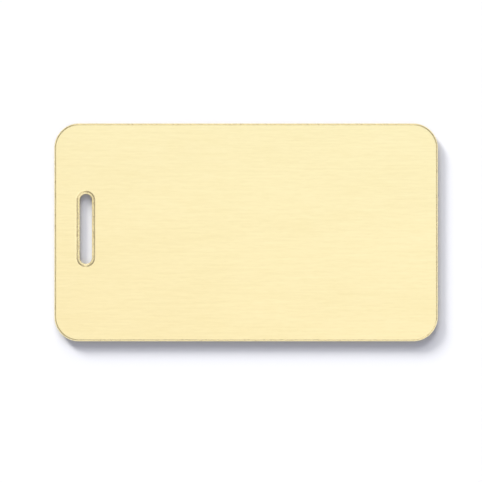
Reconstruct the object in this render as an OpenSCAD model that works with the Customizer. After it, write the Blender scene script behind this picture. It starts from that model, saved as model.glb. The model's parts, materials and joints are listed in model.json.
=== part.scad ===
// Blank brass luggage tag: one flat plate with round corners and a slot for a strap.
// The plate lies in the XY plane with its underside at z = 0 and its long side along X.
// Its front face looks up, and the slot is near its left (-X) end.

/* [Plate] */
// Length of the plate, along X
plate_l = 88.9; // [70:0.1:120]
// Width of the plate, along Y
plate_w = 50.5; // [35:0.1:70]
// Thickness of the sheet
plate_t = 1.6; // [1.4:0.1:3]
// Radius of the plate's four corners, seen from above
corner_r = 5.7; // [3:0.1:12]

/* [Strap slot] */
// Length of the slot from end to end
slot_l = 16.2; // [10:0.1:24]
// Width of the slot between its walls
slot_w = 2.85; // [2.4:0.05:5]
// Distance from the plate's left edge to the slot's centre line
slot_inset = 7.3; // [5:0.1:12]
// How far the slot's centre lies above the plate's middle line, along Y
slot_offset = 0.8; // [-3:0.1:3]

/* [Edges] */
// Slope of the bevels on the front edges, from the face
bevel_angle = 37.5; // [30:0.5:45]
// Width of the bevel around the outside, seen from above
edge_bevel = 0.15; // [0.05:0.05:0.4]
// Radius that blends the outside bevel into the face
edge_blend = 0.7; // [0.3:0.05:1]
// Width of the bevel around the slot, seen from above
slot_bevel = 0.35; // [0.1:0.05:0.6]
// Radius that blends the slot's bevel into the face
slot_blend = 1; // [0.3:0.05:1.2]
// Width of the small bevel that deburrs the back edges
deburr = 0.15; // [0.05:0.05:0.3]

/* [Hidden] */
$fn = 96;
overcut = 1;
slot_x = slot_inset - plate_l / 2;
brass = [0.95, 0.87, 0.62];

// What the bevel and its blend take off a front edge, in cross-section. The wall is at x = 0 with
// the metal to its right, and the face is at y = 0.
module front_relief(bevel, blend) {
    width = bevel + blend * sin(bevel_angle);
    blend_drop = blend * (1 - cos(bevel_angle));
    depth = blend_drop + bevel * tan(bevel_angle);
    difference() {
        polygon([
            [-overcut, -depth], [0, -depth], [bevel, -blend_drop],
            [width, -blend], [width, overcut], [-overcut, overcut]
        ]);
        translate([width, -blend])
            circle(blend);
    }
}

// Half of the plate's cross-section, from its middle out to an edge `reach` away
module plate_section(reach) {
    difference() {
        square([reach, plate_t]);
        translate([reach, plate_t])
            mirror([1, 0])
                front_relief(edge_bevel, edge_blend);
        polygon([[reach - deburr, 0], [reach, deburr], [reach + overcut, -overcut]]);
    }
}

// A straight run of the plate, `run` long and `reach` wide to each side
module plate_run(run, reach) {
    rotate([90, 0, 0])
        translate([0, 0, -run / 2])
            linear_extrude(run)
                union() {
                    plate_section(reach);
                    mirror([1, 0])
                        plate_section(reach);
                }
}

// One rounded corner, a quarter turn of the same section
module plate_corner() {
    rotate_extrude(angle = 90)
        plate_section(corner_r);
}

module plate_blank() {
    plate_run(plate_w - 2 * corner_r, plate_l / 2);
    rotate([0, 0, 90])
        plate_run(plate_l - 2 * corner_r, plate_w / 2);
    for (side_x = [0, 1], side_y = [0, 1])
        mirror([side_x, 0, 0])
            mirror([0, side_y, 0])
                translate([plate_l / 2 - corner_r, plate_w / 2 - corner_r, 0])
                    plate_corner();
}

// Half of the slot's cross-section: the straight wall, flared by the bevels at the front and the back
module slot_section() {
    translate([0, -overcut])
        square([slot_w / 2, plate_t + 2 * overcut]);
    translate([slot_w / 2, plate_t])
        front_relief(slot_bevel, slot_blend);
    polygon([[0, -overcut], [slot_w / 2 + deburr + overcut, -overcut], [slot_w / 2, deburr], [0, deburr]]);
}

// The space that the strap passes through
module slot_space() {
    straight = slot_l - slot_w;
    rotate([90, 0, 0])
        translate([0, 0, -straight / 2])
            linear_extrude(straight)
                union() {
                    slot_section();
                    mirror([1, 0])
                        slot_section();
                }
    for (end = [-1, 1])
        translate([0, end * straight / 2, 0])
            rotate_extrude()
                slot_section();
}

module tag_plate() {
    color(brass)
        difference() {
            plate_blank();
            translate([slot_x, slot_offset, 0])
                slot_space();
        }
}

tag_plate();
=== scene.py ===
import json
from math import cos, hypot, pi, radians, sin, tan

import bpy
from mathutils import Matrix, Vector
from mathutils.geometry import delaunay_2d_cdt


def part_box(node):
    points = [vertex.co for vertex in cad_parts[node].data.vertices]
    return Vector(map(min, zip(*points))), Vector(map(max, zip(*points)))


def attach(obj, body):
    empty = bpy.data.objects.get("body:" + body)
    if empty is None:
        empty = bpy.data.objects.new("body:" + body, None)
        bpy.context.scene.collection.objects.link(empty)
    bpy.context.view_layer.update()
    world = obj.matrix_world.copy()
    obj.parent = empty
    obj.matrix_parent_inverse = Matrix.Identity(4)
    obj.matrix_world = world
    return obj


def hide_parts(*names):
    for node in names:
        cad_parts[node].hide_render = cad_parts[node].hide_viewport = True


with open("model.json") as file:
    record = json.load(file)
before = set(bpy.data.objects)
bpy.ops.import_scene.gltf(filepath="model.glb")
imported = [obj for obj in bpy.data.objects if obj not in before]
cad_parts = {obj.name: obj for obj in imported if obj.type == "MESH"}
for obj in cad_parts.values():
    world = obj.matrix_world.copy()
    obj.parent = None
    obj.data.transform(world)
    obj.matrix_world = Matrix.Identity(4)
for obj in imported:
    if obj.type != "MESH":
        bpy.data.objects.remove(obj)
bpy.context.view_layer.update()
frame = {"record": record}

MM = 0.001

# Edges, as in the CAD model: each front edge has a bevel and a radius that blends it into the face
CORNER_R = 5.7 * MM
BEVEL_ANGLE = radians(37.5)
EDGE_BEVEL, EDGE_BLEND = 0.15 * MM, 0.7 * MM
SLOT_BEVEL, SLOT_BLEND = 0.35 * MM, 1.0 * MM
DEBURR = 0.15 * MM

# The sheared wall: its lower part broke away instead of being cut, and stands back a little
BREAK_HEIGHT = 0.48 * MM
BREAK_DEPTH = 0.03 * MM

# Mesh density
ARC_STEPS = 24
BLEND_STEPS = 10
DEBURR_STEPS = 4
RUN_STEP = 1.8 * MM
GRID_STEP = 2.0 * MM
RIM_GAP = 1.4 * MM
SAME_POINT = 0.01 * MM

# The flat strip beside each bend, and the size of the fold where the bevel meets the wall
HOLD = 0.3 * MM
CREASE = 0.03 * MM
# How far the edge value has grown, from 0 on the face, where the blend meets the bevel
BLEND_END = 0.8

# Straight-down view: the middle of the picture, seen from the plate's centre, and its width
VIEW_CENTRE = Vector((-1.18 * MM, -2.01 * MM))
VIEW_WIDTH = 111.65 * MM
LENS_MM = 200.0
SENSOR_MM = 36.0

# What the brass mirrors, as radiances where 1 shows as white: a panel overhead, a sweep just above the
# table, and a dim room between them. The heights are the sines of the elevations where the panel and the
# sweep begin and where they are full.
OVERHEAD_LEVEL, OVERHEAD_HEIGHTS = 1.58, (0.86, 0.985)
SWEEP_LEVEL, SWEEP_HEIGHTS = 1.15, (0.46, 0.30)
PANEL_COLOR = (1.0, 0.99, 0.98, 1)
ROOM_LEVEL, ROOM_COLOR = 0.36, (1.0, 0.96, 0.88, 1)

# The room's windows. Each has its direction, anticlockwise from +X, the half widths within which it is
# fully bright and at which it ends, and its level.
WINDOWS = {
    "far": (radians(90), radians(6), radians(19), 1.08),
    "left": (radians(180), radians(8), radians(22), 0.5),
    "near_right": (radians(-55), radians(32), radians(50), 0.95),
    "right": (radians(0), radians(6), radians(20), 0.6),
}

# What lights the table: an even glow, and two soft lights beyond the plate's far side. Each light has its
# turn to the left of +Y, its elevation, its spread and its strength.
GLOW_LEVEL = 0.495
GLOW_COLOR = (0.875, 0.905, 1.06, 1)
KEY_LIGHTS = {
    "left_key": (radians(37.2), radians(18.9), radians(14.9), 4.3),
    "far_key": (radians(8.4), radians(27.5), radians(40.2), 2.6),
}
TABLE_COLOR = (0.81, 0.805, 0.80, 1)
BACKDROP_LEVEL = 1.0

# Painted shade: the face is tinted darker and warmer towards the corner at -X -Y: its tint there, and how
# far along the direction the tint starts and is full
PAINTED_SHADE_TINT = (0.992, 0.959, 0.924, 1)
WARM_DIRECTION = (-0.25, -1.0, 0.0)
WARM_START, WARM_FULL = -0.029, 0.0275


# ---------------------------------------------------------------- shape


def rounded_outline(half_x, half_y, radius):
    """A rounded rectangle as (point, outward normal) pairs, anticlockwise, centred on the origin."""
    corners = []
    for quarter, (side_x, side_y) in enumerate(((1, 1), (-1, 1), (-1, -1), (1, -1))):
        centre = Vector((side_x * (half_x - radius), side_y * (half_y - radius)))
        angles = [(quarter + step / ARC_STEPS) * pi / 2 for step in range(ARC_STEPS + 1)]
        normals = [Vector((cos(a), sin(a))) for a in angles]
        corners.append([(centre + radius * n, n) for n in normals])
    loop = []
    for corner, following in zip(corners, corners[1:] + corners[:1]):
        loop += corner
        (start, normal), (end, _) = corner[-1], following[0]
        length = (end - start).length
        if length < SAME_POINT:
            loop.pop()
            continue
        pieces = max(1, round(length / RUN_STEP))
        loop += [(start.lerp(end, i / pieces), normal) for i in range(1, pieces)]
    return loop


def edge_stations(bevel, blend, thickness):
    """Steps from the front face over the bevelled edge, down the sheared wall and round to the back face.

    Each is (depth into the metal, height, edge, wall). edge grows from 0 on the face to 1 on the bevel, and
    wall is 1 where the metal was cut.
    """
    width = bevel + blend * sin(BEVEL_ANGLE)
    stations = [(width + HOLD, thickness, 0.0, 0.0)]
    for step in range(BLEND_STEPS + 1):
        angle = step / BLEND_STEPS * BEVEL_ANGLE
        edge = BLEND_END * step / BLEND_STEPS
        stations.append((width - blend * sin(angle), thickness - blend * (1 - cos(angle)), edge, 0.0))
    bevel_top, bevel_drop = stations[-1][1], bevel * tan(BEVEL_ANGLE)
    wall_top = bevel_top - bevel_drop - CREASE
    for share in (0.5, 1.0):
        depth = bevel - share * (bevel - CREASE)
        stations.append((depth, bevel_top - share * bevel_drop, 1.0, 0.0))
    stations += [
        (0.3 * CREASE, wall_top + 0.3 * CREASE, 1.0, 0.1),
        (0.0, wall_top - CREASE, 1.0, 0.5),
        (0.0, BREAK_HEIGHT, 1.0, 1.0),
        (0.5 * BREAK_DEPTH, BREAK_HEIGHT - 0.4 * BREAK_DEPTH, 1.0, 1.0),
        (BREAK_DEPTH, BREAK_HEIGHT - BREAK_DEPTH, 1.0, 1.0),
        (BREAK_DEPTH, BREAK_HEIGHT - 2 * BREAK_DEPTH, 1.0, 1.0),
    ]
    for step in range(DEBURR_STEPS + 1):
        angle = step / DEBURR_STEPS * pi / 2
        depth, height = BREAK_DEPTH + DEBURR * (1 - cos(angle)), DEBURR * (1 - sin(angle))
        stations.append((depth, height, 1.0, 1.0 - step / DEBURR_STEPS))
    stations.append((BREAK_DEPTH + DEBURR + HOLD, 0.0, 0.0, 0.0))
    return stations


class PlateMesh:
    """Collects the points, faces and grain directions of the plate."""

    def __init__(self):
        self.points, self.edge, self.wall = [], [], []
        self.faces, self.grain = [], []

    def add_band(self, outline, stations, side):
        """Sweeps the edge's stations round an outline. side is -1 if the metal is inside it, 1 if outside.

        Returns the index lists of its front and back rings. The grain lies along X, and follows the metal
        over the bevelled edge. On the wall it runs down, as the cut does.
        """
        around = len(outline)
        first = len(self.points)
        for depth, height, edge, wall in stations:
            for point, normal in outline:
                place = point + side * depth * normal
                self.points.append((place.x, place.y, height))
                self.edge.append(edge)
                self.wall.append(wall)
        walked, down = [0.0], [0.0]
        for (start, _), (end, _) in zip(outline, outline[1:] + outline[:1]):
            walked.append(walked[-1] + (end - start).length)
        for (d0, h0, _, _), (d1, h1, _, _) in zip(stations, stations[1:]):
            down.append(down[-1] + hypot(d1 - d0, h1 - h0))

        def grain(row, column, on_wall):
            if on_wall:
                return down[row], walked[column]
            point, normal = outline[column % around]
            return point + side * (stations[0][0] - down[row]) * normal

        for row in range(len(stations) - 1):
            on_wall = stations[row + 1][3] > 0
            for i in range(around):
                corners = [(row, i), (row + 1, i), (row + 1, i + 1), (row, i + 1)]
                if side > 0:
                    corners.reverse()
                self.faces.append([first + r * around + c % around for r, c in corners])
                self.grain += [grain(r, c, on_wall) for r, c in corners]
        last = first + (len(stations) - 1) * around
        return list(range(first, first + around)), list(range(last, last + around))

    def add_face(self, outer, inner, reach_from_slot, looks_up):
        """Fills the flat face between the outline's ring and the slot's ring with even triangles."""
        rims = outer + inner
        flat = [Vector(self.points[i][:2]) for i in rims]
        slot_reach = reach_from_slot(flat[-1])
        edges = [(i, (i + 1) % len(outer)) for i in range(len(outer))]
        edges += [(len(outer) + i, len(outer) + (i + 1) % len(inner)) for i in range(len(inner))]
        height = self.points[outer[0]][2]
        flat += self.inner_grid(flat, reach_from_slot, slot_reach)
        inside_edges, tolerance = 1, 1e-7
        places, _, triangles, sources, _, _ = delaunay_2d_cdt(flat, edges, [], inside_edges, tolerance)
        index = []
        for place, source in zip(places, sources):
            if source[0] < len(rims):
                index.append(rims[source[0]])
                continue
            index.append(len(self.points))
            self.points.append((place.x, place.y, height))
            self.edge.append(0.0)
            self.wall.append(0.0)
        for triangle in triangles:
            middle = sum((places[i] for i in triangle), Vector((0, 0))) / 3
            if reach_from_slot(middle) < slot_reach:
                continue
            corners = [index[i] for i in (triangle if looks_up else reversed(triangle))]
            self.faces.append(corners)
            self.grain += [self.points[i][:2] for i in corners]

    @staticmethod
    def inner_grid(rims, reach_from_slot, slot_reach):
        """Points of a grid of even triangles, all over the face, that keep clear of both rims."""
        half_x, half_y = max(p.x for p in rims), max(p.y for p in rims)
        row_step = 0.87 * GRID_STEP
        rows, columns = int(half_y / row_step), int(half_x / GRID_STEP)
        grid = []
        for row in range(-rows, rows + 1):
            for column in range(-columns, columns + 1):
                place = Vector(((column + 0.5 * (row % 2)) * GRID_STEP, row * row_step))
                on_plate = abs(place.x) < half_x and abs(place.y) < half_y
                if not on_plate or reach_from_slot(place) <= slot_reach:
                    continue
                if min((place - rim).length for rim in rims) > RIM_GAP:
                    grid.append(place)
        return grid

    def build(self, name):
        mesh = bpy.data.meshes.new(name)
        mesh.from_pydata(self.points, [], self.faces)
        uv = mesh.uv_layers.new(name="grain")
        uv.data.foreach_set("uv", [value for pair in self.grain for value in pair])
        for label, values in (("edge", self.edge), ("wall", self.wall)):
            mesh.attributes.new(label, "FLOAT", "POINT").data.foreach_set("value", values)
        mesh.shade_smooth()
        mesh.validate()
        made = bpy.data.objects.new(name, mesh)
        bpy.context.scene.collection.objects.link(made)
        return made


def make_plate():
    low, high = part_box("tag_plate")
    half_x, half_y, thickness = (high.x - low.x) / 2, (high.y - low.y) / 2, high.z - low.z
    slot = next(m for m in frame["record"]["mounts"] if m["name"] == "strap_slot")
    slot_centre = Vector(slot["pos_m"][:2])
    slot_r = slot["dims"]["hole_r_mm"] * MM
    slot_half = slot["dims"]["slot_length_mm"] * MM / 2

    plate = PlateMesh()
    outside = rounded_outline(half_x, half_y, CORNER_R)
    outer_stations = edge_stations(EDGE_BEVEL, EDGE_BLEND, thickness)
    outer_front, outer_back = plate.add_band(outside, outer_stations, side=-1)
    slot_outline = [(p + slot_centre, n) for p, n in rounded_outline(slot_r, slot_half, slot_r)]
    slot_stations = edge_stations(SLOT_BEVEL, SLOT_BLEND, thickness)
    slot_front, slot_back = plate.add_band(slot_outline, slot_stations, side=1)

    def reach_from_slot(place):
        """Distance from the slot's middle line."""
        offset = place - slot_centre
        return hypot(offset.x, max(0.0, abs(offset.y) - (slot_half - slot_r)))

    plate.add_face(outer_front, slot_front, reach_from_slot, looks_up=True)
    plate.add_face(outer_back, slot_back, reach_from_slot, looks_up=False)
    return plate.build("satin_tag_plate")


# ---------------------------------------------------------------- materials


class Nodes:
    """Short ways to add and join shader nodes in one tree."""

    def __init__(self, owner):
        owner.use_nodes = True
        self.tree = owner.node_tree
        self.tree.nodes.clear()

    def add(self, kind, inputs=None, **settings):
        node = self.tree.nodes.new(kind)
        for name, value in settings.items():
            setattr(node, name, value)
        for name, value in (inputs or {}).items():
            self.put(node.inputs[name], value)
        return node

    def put(self, socket, value):
        if isinstance(value, bpy.types.NodeSocket):
            self.tree.links.new(value, socket)
        else:
            socket.default_value = value

    def math(self, operation, *values, clamp=False):
        node = self.add("ShaderNodeMath", operation=operation, use_clamp=clamp)
        for socket, value in zip(node.inputs, values):
            self.put(socket, value)
        return node.outputs[0]

    def remap(self, value, low, high):
        """A 0 to 1 value, spread to low to high."""
        node = self.add("ShaderNodeMapRange", {"Value": value, "To Min": low, "To Max": high})
        return node.outputs[0]

    def noise(self, vector, size, detail=2.0, roughness=0.5):
        """Noise whose features are about `size` metres along X, Y and Z. Its output is near 0.5."""
        scale = [1 / s for s in size]
        mapping = self.add("ShaderNodeMapping", {"Vector": vector, "Scale": scale})
        node = self.add(
            "ShaderNodeTexNoise",
            {"Vector": mapping.outputs[0], "Scale": 1.0, "Detail": detail, "Roughness": roughness},
        )
        return node.outputs[0]

    def smooth(self, value, low, high):
        """0 below low and 1 above high, or the other way round where low is the larger."""
        node = self.add(
            "ShaderNodeMapRange",
            {"Value": value, "From Min": low, "From Max": high},
            interpolation_type="SMOOTHSTEP",
        )
        return node.outputs[0]

    def vector(self, operation, first, second=None):
        node = self.add("ShaderNodeVectorMath", {0: first}, operation=operation)
        if second is not None:
            self.put(node.inputs[1], second)
        return node.outputs["Value" if operation == "DOT_PRODUCT" else "Vector"]

    def mix_color(self, factor, first, second, blend="MIX"):
        node = self.add("ShaderNodeMix", data_type="RGBA", clamp_factor=True, blend_type=blend)
        self.put(node.inputs[0], factor)
        self.put(node.inputs[6], first)
        self.put(node.inputs[7], second)
        return node.outputs[2]

    def mix(self, factor, first, second):
        node = self.add("ShaderNodeMix", data_type="FLOAT", clamp_factor=True)
        self.put(node.inputs[0], factor)
        self.put(node.inputs[2], first)
        self.put(node.inputs[3], second)
        return node.outputs[0]


def satin_brass():
    """Brass sheet brushed along X, smoother on its bevels, with cut marks down its sheared walls."""
    material = bpy.data.materials.new("satin_brass")
    n = Nodes(material)
    place = n.add("ShaderNodeTexCoord").outputs["Object"]
    edge = n.add("ShaderNodeAttribute", attribute_name="edge").outputs["Fac"]
    wall = n.add("ShaderNodeAttribute", attribute_name="wall").outputs["Fac"]

    # Brush marks: hairlines, short and long streaks that they gather into, and a slow cloudiness
    hairline = n.noise(place, (3.0 * MM, 0.07 * MM, 3.0 * MM), detail=3.0, roughness=0.6)
    short = n.noise(place, (2.8 * MM, 0.48 * MM, 2.8 * MM), detail=3.0, roughness=0.6)
    long = n.noise(place, (16.0 * MM, 0.6 * MM, 16.0 * MM))
    cloud = n.noise(place, (26.0 * MM, 9.0 * MM, 9.0 * MM), detail=1.0)
    # Cut marks run down the wall, and small dents break up the bevelled edge
    cut_marks = n.noise(place, (0.09 * MM, 0.09 * MM, 1.6 * MM))
    dents = n.noise(place, (0.5 * MM, 0.5 * MM, 0.5 * MM))

    streak = n.mix(0.42, short, long)
    shade = n.mix(0.15, streak, cloud)
    shade = n.math("ADD", shade, n.math("MULTIPLY", n.math("SUBTRACT", hairline, 0.5), 0.3))
    tone = n.add("ShaderNodeValToRGB", {"Fac": shade})
    ramp = tone.color_ramp.elements
    ramp[0].position, ramp[0].color = 0.3, (0.862, 0.775, 0.453, 1)
    ramp[1].position, ramp[1].color = 0.7, (0.967, 0.888, 0.564, 1)
    # Painted shade: the face turns darker and warmer towards the corner at -X -Y
    along = n.vector("DOT_PRODUCT", place, WARM_DIRECTION)
    warm = n.add("ShaderNodeMapRange", {"Value": along, "From Min": WARM_START, "From Max": WARM_FULL})
    face_color = n.mix_color(warm.outputs[0], tone.outputs[0], PAINTED_SHADE_TINT, blend="MULTIPLY")
    edge_color = n.mix_color(dents, (0.89, 0.78, 0.46, 1), (0.92, 0.82, 0.51, 1))
    wall_color = n.mix_color(cut_marks, (0.60, 0.48, 0.24, 1), (0.74, 0.62, 0.34, 1))
    color = n.mix_color(n.math("MULTIPLY", edge, 3.0, clamp=True), face_color, edge_color)
    color = n.mix_color(wall, color, wall_color)
    # Painted shade: dark spots where the face bends into the bevel, darkening the bend
    spots = n.smooth(n.noise(place, (0.5 * MM, 0.5 * MM, 0.5 * MM)), 0.47, 0.68)
    bend = n.math("MULTIPLY", n.smooth(edge, 0.05, 0.45), n.smooth(edge, 1.0, 0.85))
    bend_shade = n.math("MULTIPLY", n.math("MULTIPLY", spots, bend), 0.75)
    color = n.mix_color(bend_shade, color, (0.50, 0.38, 0.20, 1))

    face_roughness = n.math("ADD", n.remap(streak, 0.34, 0.46), n.math("MULTIPLY", hairline, 0.06))
    edge_roughness = n.remap(dents, 0.18, 0.34)
    wall_roughness = n.remap(cut_marks, 0.28, 0.52)
    roughness = n.mix(n.math("MULTIPLY", edge, 4.0, clamp=True), face_roughness, edge_roughness)
    roughness = n.mix(wall, roughness, wall_roughness)

    brushed = n.math("ADD", n.math("MULTIPLY", hairline, 1.2), n.math("MULTIPLY", streak, 2.0))
    face_height = n.math("MULTIPLY", brushed, n.math("SUBTRACT", 1.0, edge))
    edge_height = n.math("MULTIPLY", dents, n.math("MULTIPLY", edge, 4.0))
    wall_height = n.math("MULTIPLY", cut_marks, n.math("MULTIPLY", wall, 1.6))
    height = n.math("ADD", n.math("ADD", face_height, edge_height), wall_height)
    bump = n.add("ShaderNodeBump", {"Height": height, "Strength": 0.6, "Distance": 0.004 * MM})

    tangent = n.add("ShaderNodeTangent", direction_type="UV_MAP", uv_map="grain")
    shader = n.add(
        "ShaderNodeBsdfPrincipled",
        {
            "Base Color": color,
            "Metallic": 1.0,
            "Roughness": roughness,
            "Anisotropic": 0.5,
            "Coat Weight": 0.25,
            "Coat Roughness": 0.12,
            "Coat IOR": 1.5,
            "Normal": bump.outputs[0],
            "Tangent": tangent.outputs[0],
        },
    )
    n.add("ShaderNodeOutputMaterial", {"Surface": shader.outputs[0]})
    return material


def table_white():
    material = bpy.data.materials.new("table_white")
    n = Nodes(material)
    shader = n.add(
        "ShaderNodeBsdfPrincipled",
        {"Base Color": TABLE_COLOR, "Roughness": 1.0, "Specular IOR Level": 0.0},
    )
    n.add("ShaderNodeOutputMaterial", {"Surface": shader.outputs[0]})
    return material


# ---------------------------------------------------------------- stage


def make_floor():
    half, gap = 3.0, 0.02 * MM
    low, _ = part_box("tag_plate")
    mesh = bpy.data.meshes.new("table")
    corners = [(-half, -half), (half, -half), (half, half), (-half, half)]
    mesh.from_pydata([(x, y, low.z - gap) for x, y in corners], [], [(0, 1, 2, 3)])
    mesh.materials.append(table_white())
    floor = bpy.data.objects.new("table", mesh)
    bpy.context.scene.collection.objects.link(floor)


def mirrored_studio(n, direction):
    """The studio's light by direction, as the brass mirrors it."""
    up = n.add("ShaderNodeSeparateXYZ", {"Vector": direction}).outputs["Z"]
    compass = n.vector("NORMALIZE", n.vector("MULTIPLY", direction, (1.0, 1.0, 0.0)))
    level = ROOM_LEVEL
    for towards, bright, end, window_level in WINDOWS.values():
        centre = (cos(towards), sin(towards), 0.0)
        facing = n.vector("DOT_PRODUCT", compass, centre)
        level = n.mix(n.smooth(facing, cos(end), cos(bright)), level, window_level)
    sweep, overhead = n.smooth(up, *SWEEP_HEIGHTS), n.smooth(up, *OVERHEAD_HEIGHTS)
    level = n.mix(overhead, n.mix(sweep, level, SWEEP_LEVEL), OVERHEAD_LEVEL)
    color = n.mix_color(n.math("MAXIMUM", sweep, overhead), ROOM_COLOR, PANEL_COLOR)
    return n.add("ShaderNodeBackground", {"Color": color, "Strength": level})


def make_sky():
    """The studio that the brass mirrors, a weaker even glow that lights the table, and a backdrop."""
    world = bpy.data.worlds.new("studio")
    bpy.context.scene.world = world
    n = Nodes(world)
    direction = n.add("ShaderNodeTexCoord").outputs["Generated"]
    mirrored = mirrored_studio(n, direction)
    glow = n.add("ShaderNodeBackground", {"Color": GLOW_COLOR, "Strength": GLOW_LEVEL})
    backdrop = n.add("ShaderNodeBackground", {"Color": (1, 1, 1, 1), "Strength": BACKDROP_LEVEL})
    ray = n.add("ShaderNodeLightPath")
    before_table = n.math("LESS_THAN", ray.outputs["Diffuse Depth"], 0.5)
    mirror_ray = n.math("MULTIPLY", ray.outputs["Is Glossy Ray"], before_table)
    lit = n.add("ShaderNodeMixShader", {0: mirror_ray, 1: glow.outputs[0], 2: mirrored.outputs[0]})
    camera_ray = ray.outputs["Is Camera Ray"]
    seen = n.add("ShaderNodeMixShader", {0: camera_ray, 1: lit.outputs[0], 2: backdrop.outputs[0]})
    n.add("ShaderNodeOutputWorld", {"Surface": seen.outputs[0]})


def make_key_lights():
    """The lights that throw the shadow. The brass doesn't mirror them: the sky has its own panels."""
    for name, (turn, elevation, spread, strength) in KEY_LIGHTS.items():
        light = bpy.data.lights.new(name, "SUN")
        light.energy, light.angle = strength, spread
        key = bpy.data.objects.new(name, light)
        level = cos(elevation)
        towards = Vector((-sin(turn) * level, cos(turn) * level, sin(elevation)))
        key.rotation_mode = "QUATERNION"
        key.rotation_quaternion = towards.to_track_quat("Z", "Y")
        key.visible_glossy = False
        bpy.context.scene.collection.objects.link(key)


def make_camera():
    low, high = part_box("tag_plate")
    camera = bpy.data.cameras.new("camera")
    camera.lens, camera.sensor_width = LENS_MM, SENSOR_MM
    distance = VIEW_WIDTH * LENS_MM / SENSOR_MM
    camera.clip_start, camera.clip_end = distance / 100, distance * 20
    holder = bpy.data.objects.new("camera", camera)
    centre = (low + high) / 2
    holder.location = (centre.x + VIEW_CENTRE.x, centre.y + VIEW_CENTRE.y, high.z + distance)
    bpy.context.scene.collection.objects.link(holder)
    bpy.context.scene.camera = holder


def main():
    plate = make_plate()
    plate.data.materials.append(satin_brass())
    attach(plate, "root")
    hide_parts("tag_plate")
    make_floor()
    make_sky()
    make_key_lights()
    make_camera()
    bpy.context.scene.view_settings.view_transform = "Standard"


main()
